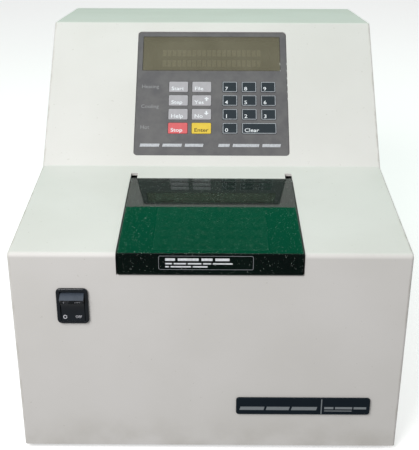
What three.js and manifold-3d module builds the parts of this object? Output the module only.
// A thermal cycler: a bench instrument that warms and cools a metal block of sample tubes in steps.
// Millimetres, +Z up. The front faces -Y, +X is the operator's right hand.
// Inside this file Y is counted back from the case's front face and Z up from the case's lower edge.
// At the end the whole model is shifted so that its origin is the middle of its footprint, on the floor.
import * as THREE from "three";
import { mergeVertices } from "three/addons/utils/BufferGeometryUtils.js";
import Module from "manifold-3d";

const wasm = await Module();
wasm.setup();

// ---------------------------------------------------------------- driving dimensions

// Fits
const gap = 0.3; // between two pieces that touch
const overrun = 10; // how far a cutter runs past the face that it opens

// Case: one bent sheet cover with welded sides
const caseWidth = 330;
const frontHeight = 192.5;
const shelfDepth = 183.5;
const slopeRun = 131.6;
const slopeRise = 108.5;
const topDepth = 163.8;
const topDrop = 25;
const sheet = 2.5;
const outerBend = 4;
const innerBend = 3;

// Louvres in the case's sides
const louvreCount = 8;
const louvrePitch = 9;
const louvreHeight = 3.2;
const louvreLength = 70;
const louvreFromRear = 60;
const louvreBottom = 40;

// Base pan, rear panel and feet
const panLift = 1;
const panSheet = 2;
const panRim = 12;
const rearRecess = 8;
const rearSheet = 2;
const footHeight = 5;
const footRadius = 11;
const footFromSide = 30;
const footFromEnd = 32;

// Block lid and its hinge
const lidWidth = 151.2;
const lidThickness = 3;
const lidProud = 1.5;
const lidLipHeight = 20;
const lidSideGap = 1.3;
const lidEndGap = 1;
const lidBevel = 1;
const landBehindLid = 31.3;
const armWidth = 4.3;
const armRadius = 4.2;
const armRoot = 12;
const armClearance = 1;
const pivotBehindLid = 9.3;
const pivotBelowShelf = 6.5;
const hingeSlotWidth = 6.5;
const hingeSlotLength = 14.2;
const pinRadius = 1.5;
const pinHeadRadius = 2.5;
const cheekGap = 1.2;
const cheekThickness = 3;
const bracketHeight = 15;
const bracketLength = 11;

// Recess tray under the lid
const traySheet = 2;
const trayFlange = 2;
const trayDepth = 20;
const recessFront = 10;
const recessBackMargin = 4.2;
const recessSideMargin = 6.9;

// Sample block with its tube wells, and what is stacked under it
const wellPitchX = 11.7;
const wellPitchY = 17.8;
const wellEdgeX = 26;
const wellEdgeY = 17.5;
const wellRadius = 4.1;
const wellTipRadius = 1.5;
const wellStraight = 9;
const wellDepth = 19;
const blockMarginX = 9.05;
const blockMarginY = 8.5;
const blockHeight = 35;
const blockProud = 2.5;
const blockClearance = 0.5;
const heaterThickness = 2;
const coolingPlateHeight = 12;
const insulationWall = 12;
const insulationClearance = 1;
const probeRadius = 2;
const probeDepth = 35;
const probeBelowTop = 27;
const pipeRadius = 4;
const pipeStub = 26;
const pipeSpacing = 40;

// Keypad panel on the slope; its places are counted down from the panel's top edge
const panelWidth = 153;
const panelMargin = 12.3;
const panelRadius = 3.5;
const panelThickness = 2.5;
const panelSunk = 0.8;
const windowFromLeft = 5.2;
const windowFromRight = 6.3;
const windowTop = 5.2;
const windowHeight = 42;
const windowThickness = 1.6;
const keyRowsTop = 60.5;
const keyPitch = 16.1;
const keyHeight = 12.3;
const keyRadius = 1.2;
const keyThickness = 2.4;
const keyProud = 0.3;
const keyTravel = 0.6;
const wideKeyWidth = 19.3;
const wideKeyPitch = 23.5;
const wideKeysToNumbers = 54.2;
const numberKeyWidth = 14.9;
const numberKeyPitch = 19.4;
const numberKeysFromRight = 12;
const keyDomeHeight = 2.9;
const boardThickness = 1.6;

// Mains rocker switch in the front
const switchFromSide = 51;
const switchBelowTop = 48.5;
const bezelWidth = 26.7;
const bezelHeight = 33.3;
const bezelRadius = 4;
const bezelProud = 2.2;
const switchBodyWidth = 23;
const switchBodyHeight = 30.4;
const switchBodyDepth = 20;
const switchWall = 1.2;
const rockerPivotDepth = 6;
const rockerTilt = 12; // degrees either side of the middle
const rockerValley = 7.5;
const rockerTipReach = 15.7;
const rockerTipAngle = 48;
const rockerShoulderAngle = 78;

// Name plate
const plateWidth = 116.7;
const plateHeight = 17.3;
const plateThickness = 1.5;
const plateFromSide = 25.5;
const plateBottom = 35;
const plateRadius = 1.5;

// Refrigeration
const compressorRadius = 55;
const compressorHeight = 150;
const compressorFromSide = 80;
const compressorFromRear = 109;
const compressorBaseHeight = 11;
const coilClearance = 12;
const condenserDepth = 30;
const condenserHeight = 140;
const fanSize = 120;
const fanDepth = 38;
const fanWall = 4;
const fanClearance = 8;
const hubRadius = 22;
const bladeCount = 7;
const bladeTipClearance = 2.5;
const guardThickness = 2.4;
const guardRings = 4;
const drierRadius = 11;
const drierLength = 90;
const lineRadius = 3;

// Electrics
const transformerFromSide = 60;
const transformerFromRear = 230;
const powerBoardLength = 110;
const mainBoardHeight = 110;
const mainBoardFromTop = 36;
const inletFromSide = 55;
const inletHeight = 60;
const inletSize = 44;
const inletFlange = 4;
const inletThickness = 3;
const inletDepth = 26;
const socketWidth = 24.6;
const socketHeight = 17;
const socketDepth = 18;
const bladeLength = 12;
const fuseWidth = 26;
const fuseHeight = 9;
const fuseDepth = 20;
const serialFromSide = 95;
const serialBelowTop = 105;
const serialWidth = 39;
const serialHeight = 11;

// ---------------------------------------------------------------- places that follow from them

const halfCase = caseWidth / 2;
const caseDepth = shelfDepth + slopeRun + topDepth;
const topHeight = frontHeight + slopeRise;
const rearHeight = topHeight - topDrop;
const slopeAngle = Math.atan2(slopeRise, slopeRun);
const slopeLength = Math.hypot(slopeRun, slopeRise);
const shelfUnderside = frontHeight - sheet;
const insideHalf = halfCase - sheet - gap;
const panTop = panLift + panSheet;
const standing = panTop + gap; // where things stand on the base pan
const rearPanelFront = caseDepth - rearRecess - rearSheet;

const halfLid = lidWidth / 2;
const lidOpeningHalf = halfLid + lidSideGap;
const lidOpeningBack = shelfDepth - landBehindLid;
const lidBack = lidOpeningBack - lidEndGap;
const lidTop = frontHeight + lidProud;
const lidUnderside = lidTop - lidThickness;
const pivotY = lidBack + pivotBehindLid;
const pivotZ = frontHeight - pivotBelowShelf;

const recessHalf = lidOpeningHalf - recessSideMargin;
const recessBack = lidOpeningBack - recessBackMargin;
const wellColumns = 1 + Math.floor((2 * recessHalf - 2 * wellEdgeX) / wellPitchX);
const wellRows = 1 + Math.floor((recessBack - recessFront - 2 * wellEdgeY) / wellPitchY);
const blockY = (recessFront + recessBack) / 2;
const blockHalfX = ((wellColumns - 1) * wellPitchX) / 2 + blockMarginX;
const blockHalfY = ((wellRows - 1) * wellPitchY) / 2 + blockMarginY;
const blockTop = frontHeight - trayDepth;
const blockBottom = blockTop - blockHeight;
const trayFloor = blockTop - blockProud;
const heaterBottom = blockBottom - gap - heaterThickness;
const coolingPlateTop = heaterBottom - gap;
const coolingPlateBottom = coolingPlateTop - coolingPlateHeight;
const insulationInnerX = blockHalfX + insulationClearance;
const insulationInnerY = blockHalfY + insulationClearance;
const insulationOuterX = insulationInnerX + insulationWall;
const insulationOuterY = insulationInnerY + insulationWall;
const insulationTop = trayFloor - traySheet - gap;
const insulationBottom = coolingPlateBottom - gap - insulationWall;
const pipeZ = (coolingPlateTop + coolingPlateBottom) / 2;
const probeZ = blockTop - probeBelowTop;

const compressorX = -(halfCase - compressorFromSide);
const compressorY = caseDepth - compressorFromRear;
const compressorBottom = standing + compressorBaseHeight + gap;
const compressorTop = compressorBottom + compressorHeight;
const condenserLeft = compressorX + compressorRadius + coilClearance;
const condenserRight = halfCase - sheet - coilClearance;
const fanFront = rearPanelFront - gap - fanDepth;
const condenserBack = fanFront - fanClearance;
const condenserFront = condenserBack - condenserDepth;
const fanX = (condenserLeft + condenserRight) / 2;
const fanBore = fanSize - 2 * fanWall;
const fanZ = Math.max(standing + condenserHeight / 2, panLift + panRim + gap + fanSize / 2);

// ---------------------------------------------------------------- geometry helpers

// A closed three.js geometry as a solid that can be joined and cut.
function solidOf(geometry, matrix) {
  const bare = geometry.clone();
  bare.deleteAttribute("normal");
  bare.deleteAttribute("uv");
  if (matrix) bare.applyMatrix4(matrix);
  const welded = mergeVertices(bare, 1e-4);
  return new wasm.Manifold(
    new wasm.Mesh({
      numProp: 3,
      vertProperties: welded.attributes.position.array,
      triVerts: new Uint32Array(welded.index.array),
    }),
  );
}

const join = (first, ...others) => others.reduce((whole, other) => whole.add(other), first);
const cut = (first, ...others) => others.reduce((whole, other) => whole.subtract(other), first);

// The two ends of a length about its middle, and a range on the left (-1) or right (1) side.
const about = (middle, half) => [middle - half, middle + half];
const onSide = (side, [near, far]) => (side > 0 ? [near, far] : [-far, -near]);

// A rectangular block between two X, two Y and two Z values.
function block([x0, x1], [y0, y1], [z0, z1]) {
  const box = new THREE.BoxGeometry(x1 - x0, y1 - y0, z1 - z0);
  return solidOf(box.translate((x0 + x1) / 2, (y0 + y1) / 2, (z0 + z1) / 2));
}

// A round bar along one axis; `across` is its centre on the other two axes, in X, Y, Z order.
function bar(axis, radius, [low, high], across, sides = 16, lowRadius = radius) {
  const geometry = new THREE.CylinderGeometry(radius, lowRadius, high - low, sides);
  const middle = (low + high) / 2;
  const [p, q] = across;
  if (axis === "x") geometry.rotateZ(-Math.PI / 2).translate(middle, p, q);
  if (axis === "y") geometry.translate(p, middle, q);
  if (axis === "z") geometry.rotateX(Math.PI / 2).translate(p, q, middle);
  return solidOf(geometry);
}

// An outline of points [u, v, radius]: a corner with a radius is rounded by an arc of `steps` pieces.
function rounded(corners, steps = 3) {
  const points = [];
  corners.forEach(([u, v, radius = 0], i) => {
    const corner = new THREE.Vector2(u, v);
    if (radius === 0) {
      points.push(corner);
      return;
    }
    const [pu, pv] = corners.at(i - 1);
    const [nu, nv] = corners[(i + 1) % corners.length];
    const before = new THREE.Vector2(pu, pv).sub(corner).normalize();
    const after = new THREE.Vector2(nu, nv).sub(corner).normalize();
    const halfAngle = Math.acos(before.dot(after)) / 2;
    const bisector = before.clone().add(after).normalize();
    const centre = corner.clone().addScaledVector(bisector, radius / Math.sin(halfAngle));
    const tangent = radius / Math.tan(halfAngle);
    const from = corner.clone().addScaledVector(before, tangent).sub(centre);
    const to = corner.clone().addScaledVector(after, tangent).sub(centre);
    const turn = Math.atan2(from.cross(to), from.dot(to));
    for (let k = 0; k <= steps; k++) {
      points.push(from.clone().rotateAround(new THREE.Vector2(), (turn * k) / steps).add(centre));
    }
  });
  return new THREE.Shape(points);
}

const rectangle = (u0, u1, v0, v1, radius, steps) =>
  rounded([[u0, v0, radius], [u1, v0, radius], [u1, v1, radius], [u0, v1, radius]], steps);

const rectangleAbout = (u, v, halfU, halfV, radius, steps) =>
  rectangle(...about(u, halfU), ...about(v, halfV), radius, steps);

const extruded = (shape, depth) =>
  new THREE.ExtrudeGeometry(shape, { depth, bevelEnabled: false, steps: 1, curveSegments: 6 });

// An outline in Y and Z, drawn out along X.
function alongX(shape, [x0, x1]) {
  const turn = new THREE.Matrix4().makeBasis(
    new THREE.Vector3(0, 1, 0),
    new THREE.Vector3(0, 0, 1),
    new THREE.Vector3(1, 0, 0),
  );
  return solidOf(extruded(shape, x1 - x0).applyMatrix4(turn).translate(x0, 0, 0));
}

// An outline in X and Z, drawn out along Y.
const alongY = (shape, [y0, y1]) =>
  solidOf(extruded(shape, y1 - y0).rotateX(Math.PI / 2).translate(0, y1, 0));

// An outline in X and Y, drawn out along Z.
const alongZ = (shape, [z0, z1]) => solidOf(extruded(shape, z1 - z0).translate(0, 0, z0));

// A profile of [radius, height] points turned about the vertical through (x, y).
function turned(profile, [x, y], sides = 24) {
  const points = profile.map(([r, z]) => new THREE.Vector2(r, z));
  const geometry = new THREE.LatheGeometry(points, sides).rotateX(Math.PI / 2);
  return solidOf(geometry.translate(x, y, 0));
}

// A closed outline moved inwards, edge by edge; the outline runs clockwise and a distance may be negative.
function inset(corners, distances) {
  const lines = corners.map(([u, v], i) => {
    const [nu, nv] = corners[(i + 1) % corners.length];
    const along = new THREE.Vector2(nu - u, nv - v).normalize();
    const inward = new THREE.Vector2(along.y, -along.x);
    const point = new THREE.Vector2(u, v).addScaledVector(inward, distances[i]);
    return { point, along };
  });
  return lines.map((line, i) => {
    const last = lines.at(i - 1);
    const between = line.point.clone().sub(last.point);
    const t = between.cross(line.along) / last.along.cross(line.along);
    const crossing = last.point.clone().addScaledVector(last.along, t);
    return [crossing.x, crossing.y];
  });
}

// A round pipe through a list of points, straight for a little way at both ends.
function pipe(points, radius, steps = 22) {
  const path = new THREE.CatmullRomCurve3(points.map((p) => new THREE.Vector3(...p)), false, "centripetal");
  const section = new THREE.Shape();
  section.absarc(0, 0, radius, 0, 2 * Math.PI);
  return solidOf(new THREE.ExtrudeGeometry(section, { steps, extrudePath: path, curveSegments: 4 }));
}

// ---------------------------------------------------------------- finishes

const finishes = {
  creamPaint: { color: "#dedcd4", roughness: 0.5, metalness: 0 },
  zincSteel: { color: "#a9adb0", roughness: 0.4, metalness: 0.9 },
  blackPaint: { color: "#1b1c1e", roughness: 0.45, metalness: 0 },
  blackRubber: { color: "#202021", roughness: 0.85, metalness: 0 },
  navyPlate: { color: "#141a2c", roughness: 0.3, metalness: 0 },
  greyMembrane: { color: "#696769", roughness: 0.55, metalness: 0 },
  oliveFilter: { color: "#5f5c46", roughness: 0.2, metalness: 0 },
  paleKey: { color: "#afb2b6", roughness: 0.55, metalness: 0 },
  slateKey: { color: "#37414b", roughness: 0.55, metalness: 0 },
  redKey: { color: "#e65a5f", roughness: 0.55, metalness: 0 },
  yellowKey: { color: "#ebc832", roughness: 0.55, metalness: 0 },
  blackPlastic: { color: "#15171d", roughness: 0.3, metalness: 0 },
  smokedAcrylic: { color: "#0d3324", roughness: 0.05, metalness: 0 },
  aluminium: { color: "#c3c6c9", roughness: 0.35, metalness: 1 },
  copper: { color: "#b8704a", roughness: 0.35, metalness: 1 },
  foam: { color: "#3b3d3e", roughness: 0.95, metalness: 0 },
  orangeSilicone: { color: "#b5562c", roughness: 0.7, metalness: 0 },
  circuitBoard: { color: "#1f5a34", roughness: 0.5, metalness: 0 },
  laminatedIron: { color: "#5b5550", roughness: 0.55, metalness: 0.6 },
};

const model = new THREE.Group();
const slope = new THREE.Group(); // its X runs across, its Y up the slope, its Z out of the slope
slope.position.set(0, shelfDepth, frontHeight);
slope.rotation.x = slopeAngle;
model.add(slope);
slope.updateMatrix();

// One named piece of the model, with a material of its own.
function piece(name, solid, finish, parent = model) {
  const { vertProperties, triVerts } = solid.getMesh();
  const geometry = new THREE.BufferGeometry()
    .setAttribute("position", new THREE.BufferAttribute(vertProperties, 3))
    .setIndex(new THREE.BufferAttribute(triVerts, 1))
    .toNonIndexed();
  geometry.computeVertexNormals();
  const mesh = new THREE.Mesh(geometry, new THREE.MeshStandardMaterial({ ...finish }));
  mesh.name = name;
  parent.add(mesh);
  return mesh;
}

// ---------------------------------------------------------------- case

// Places on the keypad panel, up the slope from its lower edge.
const panelTop = slopeLength - panelMargin;
const panelOutline = (grow) =>
  rectangle(-panelWidth / 2 - grow, panelWidth / 2 + grow, panelMargin - grow, panelTop + grow,
    panelRadius + grow);

const switchX = -(halfCase - switchFromSide);
const switchZ = frontHeight - switchBelowTop;

function housingShell() {
  const corners = [
    [0, 0],
    [0, frontHeight],
    [shelfDepth, frontHeight],
    [shelfDepth + slopeRun, topHeight],
    [caseDepth, rearHeight],
    [caseDepth, 0],
  ];
  const bends = [0, outerBend, innerBend, outerBend, 0, 0];
  const inner = inset(corners, [sheet, sheet, sheet, sheet, -overrun, -overrun]);
  const innerBends = [0, outerBend - sheet, innerBend + sheet, outerBend - sheet, 0, 0];
  const bent = (points, radii) => rounded(points.map(([y, z], i) => [y, z, radii[i]]));
  const insideX = halfCase - sheet;
  let shell = cut(
    alongX(bent(corners, bends), [-halfCase, halfCase]),
    alongX(bent(inner, innerBends), [-insideX, insideX]),
  );
  // The lid's hole opens the front wall and the shelf together; the tray stands behind it.
  const lidHole = block(
    about(0, lidOpeningHalf),
    [-overrun, lidOpeningBack],
    [lidTop - lidLipHeight - lidEndGap, frontHeight + overrun],
  );
  shell = cut(shell, lidHole);
  for (const side of [-1, 1]) {
    const slotX = onSide(side, [lidOpeningHalf - hingeSlotWidth, lidOpeningHalf]);
    const slotY = [lidOpeningBack - 1, lidOpeningBack + hingeSlotLength];
    shell = cut(shell, block(slotX, slotY, [shelfUnderside - 1, frontHeight + 1]));
  }
  const panelHole = extruded(panelOutline(gap), 3 * sheet).translate(0, 0, -2 * sheet);
  shell = cut(shell, solidOf(panelHole, slope.matrix));
  const switchHole = rectangleAbout(
    switchX,
    switchZ,
    switchBodyWidth / 2 + gap,
    switchBodyHeight / 2 + gap,
    1,
    1,
  );
  shell = cut(shell, alongY(switchHole, [-overrun, sheet + 1]));
  for (let i = 0; i < louvreCount; i++) {
    const z = louvreBottom + i * louvrePitch;
    const y = caseDepth - louvreFromRear;
    shell = cut(shell, block(about(0, halfCase + 1), [y - louvreLength, y], [z, z + louvreHeight]));
  }
  return shell;
}
piece("housing_shell", housingShell(), finishes.creamPaint);

function basePan() {
  const back = rearPanelFront - gap;
  const front = sheet + gap;
  const tray = cut(
    block(about(0, insideHalf), [front, back], [panLift, panLift + panRim]),
    block(
      about(0, insideHalf - panSheet),
      [front + panSheet, back - panSheet],
      [panTop, panLift + panRim + 1],
    ),
  );
  // Four posts carry the insulated block.
  const postHalf = 5;
  const postX = insulationOuterX - postHalf - 1;
  const postY = insulationOuterY - postHalf - 1;
  const posts = [-1, 1].flatMap((a) =>
    [-1, 1].map((b) =>
      block(
        about(a * postX, postHalf),
        about(blockY + b * postY, postHalf),
        [panLift, insulationBottom - gap],
      ),
    ),
  );
  return join(tray, ...posts);
}
piece("base_pan", basePan(), finishes.zincSteel);

// A foot's profile, with a recess underneath for its screw.
function foot() {
  const top = panLift - gap;
  const recess = 2.2;
  const recessRadius = 4;
  return [
    [0, -footHeight + recess],
    [recessRadius, -footHeight + recess],
    [recessRadius, -footHeight],
    [footRadius - 1, -footHeight],
    [footRadius, -footHeight + 1],
    [footRadius + 1, top],
    [0, top],
  ];
}
const sides = [["left", -1], ["right", 1]];
for (const [sideName, side] of sides) {
  for (const [end, y] of [["front", footFromEnd], ["rear", caseDepth - footFromEnd]]) {
    const at = [side * (halfCase - footFromSide), y];
    piece(`foot_${end}_${sideName}`, turned(foot(), at, 20), finishes.blackRubber);
  }
}

// ---------------------------------------------------------------- block lid and hinge

// The rear corners of the lid carry an arm each, down and back to the hinge pins.
const armOuter = halfLid;
const armInner = halfLid - armWidth;

function blockLid() {
  const plate = alongX(
    rounded([
      [-lidProud, lidUnderside],
      [-lidProud, lidTop, 1],
      [lidBack, lidTop],
      [lidBack, lidUnderside + lidBevel],
      [lidBack - lidBevel, lidUnderside],
    ]),
    about(0, halfLid),
  );
  const lip = block(
    about(0, halfLid),
    [-lidProud, lidThickness - lidProud],
    [lidTop - lidLipHeight, lidTop - 1],
  );
  const onEnd = armRadius * Math.SQRT1_2;
  const arms = [-1, 1].flatMap((side) => {
    const range = onSide(side, [armInner, armOuter]);
    const web = alongX(
      rounded([
        [lidBack - armRoot, lidUnderside + 1],
        [lidBack - 2 * lidBevel, lidUnderside + 1],
        [pivotY - onEnd, pivotZ + onEnd],
        [pivotY, pivotZ],
        [pivotY - 1.5, pivotZ - armRadius + gap],
      ]),
      range,
    );
    return [web, bar("x", armRadius, range, [pivotY, pivotZ], 20)];
  });
  const bore = bar("x", pinRadius + gap, about(0, halfLid + 1), [pivotY, pivotZ], 12);
  return cut(join(plate, lip, ...arms), bore);
}
piece("block_lid", blockLid(), finishes.smokedAcrylic);

for (const [sideName, side] of sides) {
  const innerCheek = [armInner - cheekGap - cheekThickness, armInner - cheekGap];
  const outerCheek = [armOuter + cheekGap, armOuter + cheekGap + cheekThickness];
  const whole = [innerCheek[0], outerCheek[1]];
  const top = shelfUnderside - gap;
  const bottom = top - bracketHeight;
  const lengthwise = about(pivotY, bracketLength / 2);
  const pivot = [pivotY, pivotZ];
  const cheeks = [innerCheek, outerCheek].map((range) =>
    block(onSide(side, range), lengthwise, [bottom, top]),
  );
  const web = block(onSide(side, whole), lengthwise, [bottom, bottom + 2]);
  const holeRange = onSide(side, [whole[0] - 1, whole[1] + 1]);
  const hole = bar("x", pinRadius + gap, holeRange, pivot, 12);
  piece(`hinge_bracket_${sideName}`, cut(join(...cheeks, web), hole), finishes.zincSteel);

  const headRange = [whole[1] + gap, whole[1] + gap + 1.2];
  const shank = bar("x", pinRadius, onSide(side, [whole[0], whole[1] + 1]), pivot, 12);
  const head = bar("x", pinHeadRadius, onSide(side, headRange), pivot, 12);
  piece(`hinge_pin_${sideName}`, join(shank, head), finishes.zincSteel);
}

// ---------------------------------------------------------------- recess, block and what is under it

function recessTray() {
  const flangeTop = shelfUnderside - gap;
  const flangeHalf = lidOpeningHalf + 2;
  const flangeBack = lidOpeningBack + 8;
  const flangeFront = lidThickness - lidProud + 3;
  const outerHalf = recessHalf + traySheet;
  const outerFront = recessFront - traySheet;
  const outerBack = recessBack + traySheet;
  const bottom = trayFloor - traySheet;
  const tray = join(
    block(about(0, flangeHalf), [flangeFront, flangeBack], [flangeTop - trayFlange, flangeTop]),
    block(about(0, outerHalf), [outerFront, outerBack], [bottom, lidUnderside - gap]),
  );
  const cutters = [
    block(about(0, recessHalf), [recessFront, recessBack], [trayFloor, lidTop]),
    block(
      about(0, blockHalfX + blockClearance),
      about(blockY, blockHalfY + blockClearance),
      [bottom - 1, trayFloor + 1],
    ),
  ];
  // Room for the lid's arms and the hinge brackets at the rear corners.
  const low = pivotZ - armRadius - 1;
  for (const side of [-1, 1]) {
    const armX = onSide(side, [armInner - armClearance, flangeHalf + 1]);
    const bracketX = onSide(side, [armInner - cheekGap - cheekThickness - armClearance, flangeHalf + 1]);
    const behindWall = recessBack + traySheet + gap;
    cutters.push(block(armX, [lidBack - armRoot - 3, flangeBack + 1], [low, lidTop]));
    cutters.push(block(bracketX, [behindWall, flangeBack + 1], [low, lidTop]));
  }
  return cut(tray, ...cutters);
}
piece("recess_tray", recessTray(), finishes.blackPaint);

function sampleBlock() {
  let body = block(about(0, blockHalfX), about(blockY, blockHalfY), [blockBottom, blockTop]);
  const profile = [
    [0, blockTop - wellDepth],
    [wellTipRadius, blockTop - wellDepth],
    [wellRadius, blockTop - wellStraight],
    [wellRadius, blockTop + 1],
    [0, blockTop + 1],
  ];
  for (let row = 0; row < wellRows; row++) {
    for (let column = 0; column < wellColumns; column++) {
      const x = (column - (wellColumns - 1) / 2) * wellPitchX;
      const y = blockY + (row - (wellRows - 1) / 2) * wellPitchY;
      body = cut(body, turned(profile, [x, y], 8));
    }
  }
  const probeHoleX = [blockHalfX - probeDepth, blockHalfX + 1];
  return cut(body, bar("x", probeRadius + gap, probeHoleX, [blockY, probeZ], 10));
}
piece("sample_block", sampleBlock(), finishes.aluminium);

const heaterInset = 2;
piece(
  "heater_mat",
  block(
    about(0, blockHalfX - heaterInset),
    about(blockY, blockHalfY - heaterInset),
    [heaterBottom, heaterBottom + heaterThickness],
  ),
  finishes.orangeSilicone,
);

const plateBack = blockY + blockHalfY;
const stubEnd = plateBack + pipeStub;

function coolingPlate() {
  const plate = block(
    about(0, blockHalfX),
    about(blockY, blockHalfY),
    [coolingPlateBottom, coolingPlateTop],
  );
  const stubs = [-1, 1].map((side) =>
    bar("y", pipeRadius, [plateBack - 5, stubEnd], [(side * pipeSpacing) / 2, pipeZ], 10),
  );
  return join(plate, ...stubs);
}
piece("cooling_plate", coolingPlate(), finishes.aluminium);

function insulationBox() {
  const outer = block(
    about(0, insulationOuterX),
    about(blockY, insulationOuterY),
    [insulationBottom, insulationTop],
  );
  const hollow = block(
    about(0, insulationInnerX),
    about(blockY, insulationInnerY),
    [insulationBottom + insulationWall, insulationTop + 1],
  );
  const pipeHoles = [-1, 1].map((side) =>
    bar("y", pipeRadius + 1, [blockY, stubEnd], [(side * pipeSpacing) / 2, pipeZ], 10),
  );
  const probeHole = bar("x", probeRadius + 1, [0, insulationOuterX + 1], [blockY, probeZ], 10);
  return cut(outer, hollow, ...pipeHoles, probeHole);
}
piece("insulation_box", insulationBox(), finishes.foam);

function temperatureProbe() {
  const tip = blockHalfX - probeDepth + 1;
  const end = insulationOuterX + 6;
  const rod = bar("x", probeRadius, [tip, end], [blockY, probeZ], 10);
  const ferrule = bar("x", probeRadius + 1.5, [insulationOuterX + 1, end + 8], [blockY, probeZ], 10);
  return join(rod, ferrule);
}
piece("temperature_probe", temperatureProbe(), finishes.aluminium);

// ---------------------------------------------------------------- keypad panel on the slope

const windowLeft = -panelWidth / 2 + windowFromLeft;
const windowRight = panelWidth / 2 - windowFromRight;
const numberKeysLeft = panelWidth / 2 - numberKeysFromRight - 2 * numberKeyPitch - numberKeyWidth;
const wideKeysLeft = numberKeysLeft - wideKeysToNumbers;
const windowBottomS = panelTop - windowTop - windowHeight;
const windowTopS = panelTop - windowTop;
const rowBottom = (row) => panelTop - keyRowsTop - row * keyPitch - keyHeight;

const wideKey = (name, column, row, finish) => ({
  name: `key_${name}`,
  left: wideKeysLeft + column * wideKeyPitch,
  width: wideKeyWidth,
  row,
  finish,
});
const numberKey = (name, column, row, columns = 1) => ({
  name: `key_${name}`,
  left: numberKeysLeft + column * numberKeyPitch,
  width: numberKeyWidth + (columns - 1) * numberKeyPitch,
  row,
  finish: finishes.slateKey,
});
const keys = [
  wideKey("start", 0, 0, finishes.paleKey),
  wideKey("step", 0, 1, finishes.paleKey),
  wideKey("help", 0, 2, finishes.paleKey),
  wideKey("stop", 0, 3, finishes.redKey),
  wideKey("file", 1, 0, finishes.paleKey),
  wideKey("yes_up", 1, 1, finishes.paleKey),
  wideKey("no_down", 1, 2, finishes.paleKey),
  wideKey("enter", 1, 3, finishes.yellowKey),
  ...[[7, 8, 9], [4, 5, 6], [1, 2, 3]].flatMap((digits, row) =>
    digits.map((digit, column) => numberKey(digit, column, row)),
  ),
  numberKey(0, 0, 3),
  numberKey("clear", 1, 3, 2),
];
const keyOutline = ({ left, width, row }, grow) =>
  rectangle(left - grow, left + width + grow, rowBottom(row) - grow, rowBottom(row) + keyHeight + grow,
    keyRadius + grow, 2);

function keypadOverlay() {
  let plate = alongZ(panelOutline(0), [-panelSunk - panelThickness, -panelSunk]);
  const windowHole = rectangle(windowLeft, windowRight, windowBottomS, windowTopS, 1, 1);
  plate = cut(plate, alongZ(windowHole, [-overrun, 1]));
  for (const key of keys) {
    plate = cut(plate, alongZ(keyOutline(key, gap), [-overrun, 1]));
  }
  return plate;
}
piece("keypad_overlay", keypadOverlay(), finishes.greyMembrane, slope);

const displayWindow = rectangle(
  windowLeft + gap,
  windowRight - gap,
  windowBottomS + gap,
  windowTopS - gap,
  1,
  1,
);
piece(
  "display_window",
  alongZ(displayWindow, [-panelSunk - windowThickness, -panelSunk]),
  finishes.oliveFilter,
  slope,
);

// A pressed key and the dome under it stay clear of the board.
const panelBack = -panelSunk - panelThickness;
const keyTop = keyProud - panelSunk;
const boardTop = keyTop - keyThickness - keyTravel - keyDomeHeight;

for (const key of keys) {
  piece(key.name, alongZ(keyOutline(key, 0), [keyTop - keyThickness, keyTop]), key.finish, slope);
}

function keypadBoard() {
  const halfWidth = panelWidth / 2 - 3;
  const low = panelMargin + 6;
  const high = windowBottomS - 4;
  const board = block(about(0, halfWidth), [low, high], [boardTop - boardThickness, boardTop]);
  const postHalf = 2.5;
  const posts = [-1, 1].flatMap((side) =>
    [low + postHalf, (low + high) / 2, high - postHalf].map((s) =>
      block(
        about(side * (halfWidth - postHalf), postHalf),
        about(s, postHalf),
        [boardTop - 1, panelBack - gap],
      ),
    ),
  );
  return join(board, ...posts);
}
piece("keypad_board", keypadBoard(), finishes.circuitBoard, slope);

function displayModule() {
  const glassMargin = 11;
  const glassTop = panelBack - gap;
  const glassThickness = 6;
  const glass = block(
    [windowLeft + glassMargin, windowRight - glassMargin],
    [windowBottomS + 4, windowTopS - 4],
    [glassTop - glassThickness, glassTop],
  );
  const board = block(
    [windowLeft, windowRight],
    [windowBottomS, windowTopS],
    [glassTop - glassThickness - boardThickness, glassTop - glassThickness + 0.5],
  );
  return join(glass, board);
}
piece("display_module", displayModule(), finishes.blackPlastic, slope);

// ---------------------------------------------------------------- front switch and name plate

const apertureHalfWidth = switchBodyWidth / 2 - switchWall;
const apertureHalfHeight = switchBodyHeight / 2 - switchWall;

function switchFrame() {
  const centred = (halfWidth, halfHeight, radius, steps) =>
    rectangleAbout(switchX, switchZ, halfWidth, halfHeight, radius, steps);
  const bezel = alongY(centred(bezelWidth / 2, bezelHeight / 2, bezelRadius, 4), [-bezelProud, -gap]);
  const body = alongY(centred(switchBodyWidth / 2, switchBodyHeight / 2, 0.8, 1), [-1, switchBodyDepth]);
  const hollow = alongY(
    centred(apertureHalfWidth, apertureHalfHeight, 0.5, 1),
    [-overrun, switchBodyDepth - switchWall],
  );
  return cut(join(bezel, body), hollow);
}
piece("switch_frame", switchFrame(), finishes.blackPlastic);

function switchRocker() {
  // Its ends are as long as lets them swing past the frame's walls.
  const reach = apertureHalfHeight - gap;
  const onCircle = (radius, degrees, sign) => {
    const angle = THREE.MathUtils.degToRad(degrees);
    return new THREE.Vector2(-radius * Math.cos(angle), sign * radius * Math.sin(angle));
  };
  const half = (sign) => [
    onCircle(rockerTipReach, rockerTipAngle, sign),
    onCircle(reach, rockerShoulderAngle, sign),
    onCircle(reach, 90, sign),
    new THREE.Vector2(4, sign * 9),
  ];
  const outline = [new THREE.Vector2(-rockerValley, 0), ...half(1), ...half(-1).reverse()];
  const halfWidth = apertureHalfWidth - gap;
  return alongX(new THREE.Shape(outline), about(0, halfWidth));
}
const rocker = piece("switch_rocker", switchRocker(), finishes.blackPlastic);
rocker.position.set(switchX, rockerPivotDepth, switchZ);
rocker.rotation.x = THREE.MathUtils.degToRad(rockerTilt);

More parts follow.
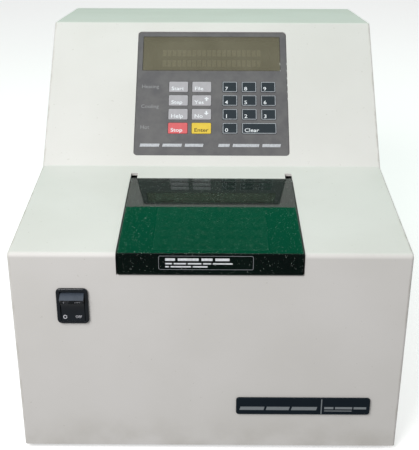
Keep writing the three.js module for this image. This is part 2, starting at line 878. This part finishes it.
const plateRight = halfCase - plateFromSide;
piece(
  "name_plate",
  alongY(
    rectangle(plateRight - plateWidth, plateRight, plateBottom, plateBottom + plateHeight, plateRadius, 2),
    [-gap - plateThickness, -gap],
  ),
  finishes.navyPlate,
);

// ---------------------------------------------------------------- refrigeration

// The can stands on a plate; its suction stub points to the front, its discharge stub up.
const suctionStub = { z: compressorBottom + 45, y: compressorY - compressorRadius - 10 };
const dischargeStub = { x: compressorX + 25, z: compressorTop + 8 };

function compressorCan() {
  const shoulder = 22;
  const r = compressorRadius;
  const profile = [
    [0, compressorBottom],
    [r * 0.6, compressorBottom],
    [r * 0.92, compressorBottom + shoulder * 0.45],
    [r, compressorBottom + shoulder],
    [r, compressorTop - shoulder],
    [r * 0.92, compressorTop - shoulder * 0.45],
    [r * 0.6, compressorTop - shoulder * 0.1],
    [0, compressorTop],
  ];
  const can = turned(profile, [compressorX, compressorY], 24);
  const suction = bar("y", pipeRadius, [suctionStub.y, compressorY], [compressorX, suctionStub.z], 10);
  const up = [compressorTop - 20, dischargeStub.z];
  const discharge = bar("z", pipeRadius, up, [dischargeStub.x, compressorY], 10);
  return join(can, suction, discharge);
}
piece("compressor", compressorCan(), finishes.blackPaint);

function compressorBase() {
  const half = compressorRadius + 3;
  const plate = block(about(compressorX, half), about(compressorY, half), [standing, standing + 2.5]);
  const height = [standing, standing + compressorBaseHeight];
  const posts = about(compressorX, 20).flatMap((x) =>
    about(compressorY, 20).map((y) => bar("z", 7, height, [x, y], 12)),
  );
  return join(plate, ...posts);
}
piece("compressor_base", compressorBase(), finishes.zincSteel);

const condenserTopStub = { x: condenserLeft + 20, y: (condenserFront + condenserBack) / 2 };
const condenserTop = standing + condenserHeight;
const drierX = condenserLeft + 16;
const drierZ = standing + 28;
const frontStubY = condenserFront - 10;

function condenser() {
  const finPitch = 12;
  const finDepth = 2.5;
  const depth = [condenserFront, condenserBack];
  let core = block([condenserLeft, condenserRight], depth, [standing, condenserTop]);
  // Shallow grooves on both faces stand for the fin pack.
  for (let x = condenserLeft + finPitch; x < condenserRight - finPitch / 2; x += finPitch) {
    for (const y of depth) {
      core = cut(core, block(about(x, 1.5), about(y, finDepth), [standing + 8, condenserTop - 8]));
    }
  }
  const topStub = bar(
    "z",
    pipeRadius,
    [condenserTop - 3, condenserTop + 15],
    [condenserTopStub.x, condenserTopStub.y],
    10,
  );
  const frontStub = bar("y", pipeRadius, [frontStubY, condenserFront + 5], [drierX, drierZ], 10);
  return join(core, topStub, frontStub);
}
piece("condenser", condenser(), finishes.aluminium);

const drierBack = frontStubY - gap;
const drierFront = drierBack - drierLength;

function filterDrier() {
  const neck = 8;
  const cone = 6;
  const front = drierFront + neck;
  const back = drierBack - neck;
  const axis = [drierX, drierZ];
  const body = bar("y", drierRadius, [front + cone, back - cone], axis);
  const rearCone = bar("y", pipeRadius, [back - cone, back], axis, 16, drierRadius);
  const frontCone = bar("y", drierRadius, [front, front + cone], axis, 16, pipeRadius);
  const stem = bar("y", pipeRadius, [drierFront, drierBack], axis);
  return join(body, rearCone, frontCone, stem);
}
piece("filter_drier", filterDrier(), finishes.copper);

// Each line leaves its stubs straight, so its first and last two points lie on the stub's axis.
const lineFromPlate = stubEnd + gap;
const dischargeArch = Math.max(dischargeStub.z, condenserTop + 15) + 22;
const lines = {
  suction_line: [
    [-pipeSpacing / 2, lineFromPlate, pipeZ],
    [-pipeSpacing / 2, lineFromPlate + 12, pipeZ],
    [compressorX / 2 - 5, lineFromPlate + 45, pipeZ - 20],
    [compressorX, suctionStub.y - 45, suctionStub.z + 18],
    [compressorX, suctionStub.y - 14, suctionStub.z],
    [compressorX, suctionStub.y - gap, suctionStub.z],
  ],
  discharge_line: [
    [dischargeStub.x, compressorY, dischargeStub.z + gap],
    [dischargeStub.x, compressorY, dischargeStub.z + 12],
    [dischargeStub.x + 14, compressorY + 8, dischargeArch],
    [condenserTopStub.x - 14, condenserTopStub.y - 8, dischargeArch],
    [condenserTopStub.x, condenserTopStub.y, condenserTop + 27],
    [condenserTopStub.x, condenserTopStub.y, condenserTop + 15 + gap],
  ],
  liquid_line: [
    [drierX, drierFront - gap, drierZ],
    [drierX, drierFront - 12, drierZ],
    [drierX, drierFront - 40, drierZ + 25],
    [pipeSpacing / 2, lineFromPlate + 38, pipeZ - 22],
    [pipeSpacing / 2, lineFromPlate + 12, pipeZ],
    [pipeSpacing / 2, lineFromPlate, pipeZ],
  ],
};
for (const [name, points] of Object.entries(lines)) {
  piece(name, pipe(points, lineRadius), finishes.copper);
}

// ---------------------------------------------------------------- fan and rear panel

const fanFaceHalf = fanSize / 2;

function fanFrame() {
  const square = rectangleAbout(fanX, fanZ, fanFaceHalf, fanFaceHalf, 5, 2);
  const frame = cut(
    alongY(square, [fanFront, fanFront + fanDepth]),
    bar("y", fanBore / 2, [fanFront - 1, fanFront + fanDepth + 1], [fanX, fanZ], 28),
  );
  // The motor hangs on three struts at the front of the duct.
  const strutThickness = 4;
  const mount = bar("y", hubRadius, [fanFront, fanFront + strutThickness], [fanX, fanZ], 20);
  const struts = [90, 210, 330].map((degrees) => {
    const reach = fanBore / 2 + 1;
    const strut = new THREE.BoxGeometry(reach, strutThickness, 5).translate(reach / 2, 0, 0);
    strut.rotateY(THREE.MathUtils.degToRad(degrees)).translate(fanX, fanFront + strutThickness / 2, fanZ);
    return solidOf(strut);
  });
  return join(frame, mount, ...struts);
}
piece("fan_frame", fanFrame(), finishes.blackPlastic);

function fanRotor() {
  const from = 5;
  const to = fanDepth - 4;
  const hub = bar("y", hubRadius, [from, to], [0, 0], 20);
  const bladeReach = fanBore / 2 - bladeTipClearance;
  const blades = Array.from({ length: bladeCount }, (_, i) => {
    const root = hubRadius - 3;
    const blade = new THREE.BoxGeometry(bladeReach - root, 2, 30).translate((bladeReach + root) / 2, 0, 0);
    blade.rotateX(THREE.MathUtils.degToRad(35));
    blade.rotateY((2 * Math.PI * i) / bladeCount).translate(0, (from + to) / 2, 0);
    return solidOf(blade);
  });
  // The blades' square tips are trimmed to the circle that the rotor sweeps.
  const sweep = bar("y", bladeReach, [from, to], [0, 0], 28);
  return join(hub, ...blades).intersect(sweep);
}
const rotor = piece("fan_rotor", fanRotor(), finishes.blackPlastic);
rotor.position.set(fanX, fanFront, fanZ);

const rearPanelBack = rearPanelFront + rearSheet;
const inletX = -(halfCase - inletFromSide);
const serialX = -(halfCase - serialFromSide);
const serialZ = rearHeight - serialBelowTop;
const underTopAtRear = rearHeight - sheet / Math.cos(Math.atan2(topDrop, topDepth));

function rearPanel() {
  const through = [rearPanelFront - 1, rearPanelBack + 1];
  const inletHalf = inletSize / 2 + gap;
  let plate = block(about(0, insideHalf), [rearPanelFront, rearPanelBack], [panLift, underTopAtRear - gap]);
  plate = cut(
    plate,
    bar("y", fanBore / 2, through, [fanX, fanZ], 28),
    block(about(inletX, inletHalf), through, about(inletHeight, inletHalf)),
    block(about(serialX, serialWidth / 2 + gap), through, about(serialZ, serialHeight / 2 + gap)),
  );
  // Slots above the fan let the warm air under the top out.
  const slotCount = 6;
  const slotHalf = 45;
  for (let i = 0; i < slotCount; i++) {
    const z = fanZ + fanFaceHalf + 30 + i * louvrePitch;
    plate = cut(plate, block(about(fanX, slotHalf), through, [z, z + louvreHeight]));
  }
  return plate;
}
piece("rear_panel", rearPanel(), finishes.creamPaint);

function fanGuard() {
  const wire = guardThickness / 2;
  const y = rearPanelBack + gap + wire;
  const inner = 12;
  const outer = fanBore / 2 + 1;
  const bars = [45, 135].map((degrees) => {
    const spoke = new THREE.BoxGeometry(fanSize * 1.18, guardThickness, guardThickness);
    spoke.rotateY(THREE.MathUtils.degToRad(degrees)).translate(fanX, y, fanZ);
    return solidOf(spoke);
  });
  const rings = Array.from({ length: guardRings }, (_, i) => {
    const radius = inner + ((outer - inner) * i) / (guardRings - 1);
    const section = [[-wire, -wire], [wire, -wire], [wire, wire], [-wire, wire], [-wire, -wire]];
    const points = section.map(([r, h]) => new THREE.Vector2(radius + r, h));
    return solidOf(new THREE.LatheGeometry(points, 24).translate(fanX, y, fanZ));
  });
  return join(...bars, ...rings);
}
piece("fan_guard", fanGuard(), finishes.zincSteel);

// ---------------------------------------------------------------- mains inlet, fuse drawer and serial port

const socketZ = inletHeight - inletSize / 2 + 5 + socketHeight / 2;
const fuseZ = inletHeight + inletSize / 2 - 5 - fuseHeight / 2;
const inletFace = rearPanelBack + gap + inletThickness;

function mainsInlet() {
  const half = inletSize / 2;
  const flangeHalf = half + inletFlange;
  const flange = alongY(
    rectangleAbout(inletX, inletHeight, flangeHalf, flangeHalf, 3, 2),
    [rearPanelBack + gap, inletFace],
  );
  const body = block(about(inletX, half), [inletFace - inletDepth, inletFace - 1], about(inletHeight, half));
  const socket = alongY(
    rectangleAbout(inletX, socketZ, socketWidth / 2, socketHeight / 2, 2, 1),
    [inletFace - socketDepth, inletFace + 1],
  );
  const drawerHole = block(
    about(inletX, fuseWidth / 2 + gap),
    [inletFace - fuseDepth - gap, inletFace + 1],
    about(fuseZ, fuseHeight / 2 + gap),
  );
  const bladeSpacing = 7;
  const bladeRise = 2;
  const bladeY = [inletFace - socketDepth - 1, inletFace - socketDepth + bladeLength];
  const places = [[-bladeSpacing, -bladeRise], [0, bladeRise], [bladeSpacing, -bladeRise]];
  const contacts = places.map(([dx, dz]) => block(about(inletX + dx, 1), bladeY, about(socketZ + dz, 2)));
  return join(cut(join(flange, body), socket, drawerHole), ...contacts);
}
piece("mains_inlet", mainsInlet(), finishes.blackPlastic);

function fuseDrawer() {
  const drawer = block(
    about(inletX, fuseWidth / 2),
    [inletFace - fuseDepth, inletFace + 1.2],
    about(fuseZ, fuseHeight / 2),
  );
  const fingerNotch = block(about(inletX, 4), [inletFace, inletFace + 2], about(fuseZ, 1.5));
  return cut(drawer, fingerNotch);
}
piece("fuse_drawer", fuseDrawer(), finishes.blackPlastic);

// The main board stands in front of the rear panel, behind the compressor.
const boardStandoff = 10;
const mainBoardBack = rearPanelFront - gap - boardStandoff;
const mainBoardTop = rearHeight - mainBoardFromTop;

function mainBoard() {
  const left = -halfCase + sheet + 12;
  const right = condenserLeft - 10;
  const bottom = mainBoardTop - mainBoardHeight;
  const board = block([left, right], [mainBoardBack - boardThickness, mainBoardBack], [bottom, mainBoardTop]);
  const postY = [mainBoardBack - 1, rearPanelFront - gap];
  const posts = [left + 6, right - 6].flatMap((x) =>
    [bottom + 6, mainBoardTop - 6].map((z) => bar("y", 3, postY, [x, z], 8)),
  );
  const chipDepth = 5;
  const chips = [0.2, 0.5, 0.8].flatMap((u) =>
    [0.3, 0.7].map((v) => {
      const x = left + u * (right - left);
      const z = bottom + v * mainBoardHeight;
      const front = mainBoardBack - boardThickness - chipDepth;
      return block(about(x, 8), [front, mainBoardBack - 1], about(z, 18));
    }),
  );
  return join(board, ...posts, ...chips);
}
piece("main_board", mainBoard(), finishes.circuitBoard);

function serialPort() {
  const flange = block(
    about(serialX, serialWidth / 2 + 6),
    [rearPanelBack + gap, rearPanelBack + gap + 1.2],
    about(serialZ, serialHeight / 2 + 1),
  );
  const slant = 2;
  const face = rounded([
    [serialX - serialWidth / 2, serialZ + serialHeight / 2 - 0.5, 1.5],
    [serialX + serialWidth / 2, serialZ + serialHeight / 2 - 0.5, 1.5],
    [serialX + serialWidth / 2 - slant, serialZ - serialHeight / 2 + 0.5, 1.5],
    [serialX - serialWidth / 2 + slant, serialZ - serialHeight / 2 + 0.5, 1.5],
  ]);
  const shell = alongY(face, [mainBoardBack + gap, rearPanelBack + 6]);
  return join(flange, shell);
}
piece("serial_port", serialPort(), finishes.zincSteel);

// ---------------------------------------------------------------- transformer and power board

function transformer() {
  const x = halfCase - transformerFromSide;
  const y = caseDepth - transformerFromRear;
  const coreHalfX = 38;
  const coreHalfY = 18;
  const coreHeight = 64;
  const core = block(about(x, coreHalfX), about(y, coreHalfY), [standing, standing + coreHeight]);
  const coil = alongY(
    rectangleAbout(x, standing + coreHeight / 2, coreHalfX * 0.62, coreHeight / 2 - 10, 5, 2),
    about(y, coreHalfY + 16),
  );
  const strap = block(about(x, coreHalfX + 8), about(y, 12), [standing, standing + 2]);
  return join(core, coil, strap);
}
piece("transformer", transformer(), finishes.laminatedIron);

function powerBoard() {
  const left = -halfCase + sheet + 14;
  const right = compressorX + compressorRadius + 5;
  const back = compressorY - compressorRadius - 16;
  const front = back - powerBoardLength;
  const boardBottom = standing + 6;
  const board = block([left, right], [front, back], [boardBottom, boardBottom + boardThickness]);
  const posts = [left + 6, right - 6].flatMap((x) =>
    [front + 6, back - 6].map((y) => bar("z", 3, [standing, boardBottom + 1], [x, y], 8)),
  );
  const heatSink = block([left + 8, left + 20], [front + 14, back - 14], [boardBottom + 1, boardBottom + 32]);
  const capacitors = [0.3, 0.7].map((share) =>
    bar("z", 11, [boardBottom + 1, boardBottom + 34], [right - 22, front + share * powerBoardLength], 14),
  );
  const relay = block([left + 36, left + 56], [front + 20, front + 50], [boardBottom + 1, boardBottom + 18]);
  return join(board, ...posts, heatSink, ...capacitors, relay);
}
piece("power_board", powerBoard(), finishes.circuitBoard);

// ---------------------------------------------------------------- origin

model.updateMatrixWorld(true);
const bounds = new THREE.Box3().setFromObject(model, true);
const centre = bounds.getCenter(new THREE.Vector3());
const cycler = new THREE.Group();
model.position.set(-centre.x, -centre.y, -bounds.min.z);
cycler.add(model);

export default cycler;
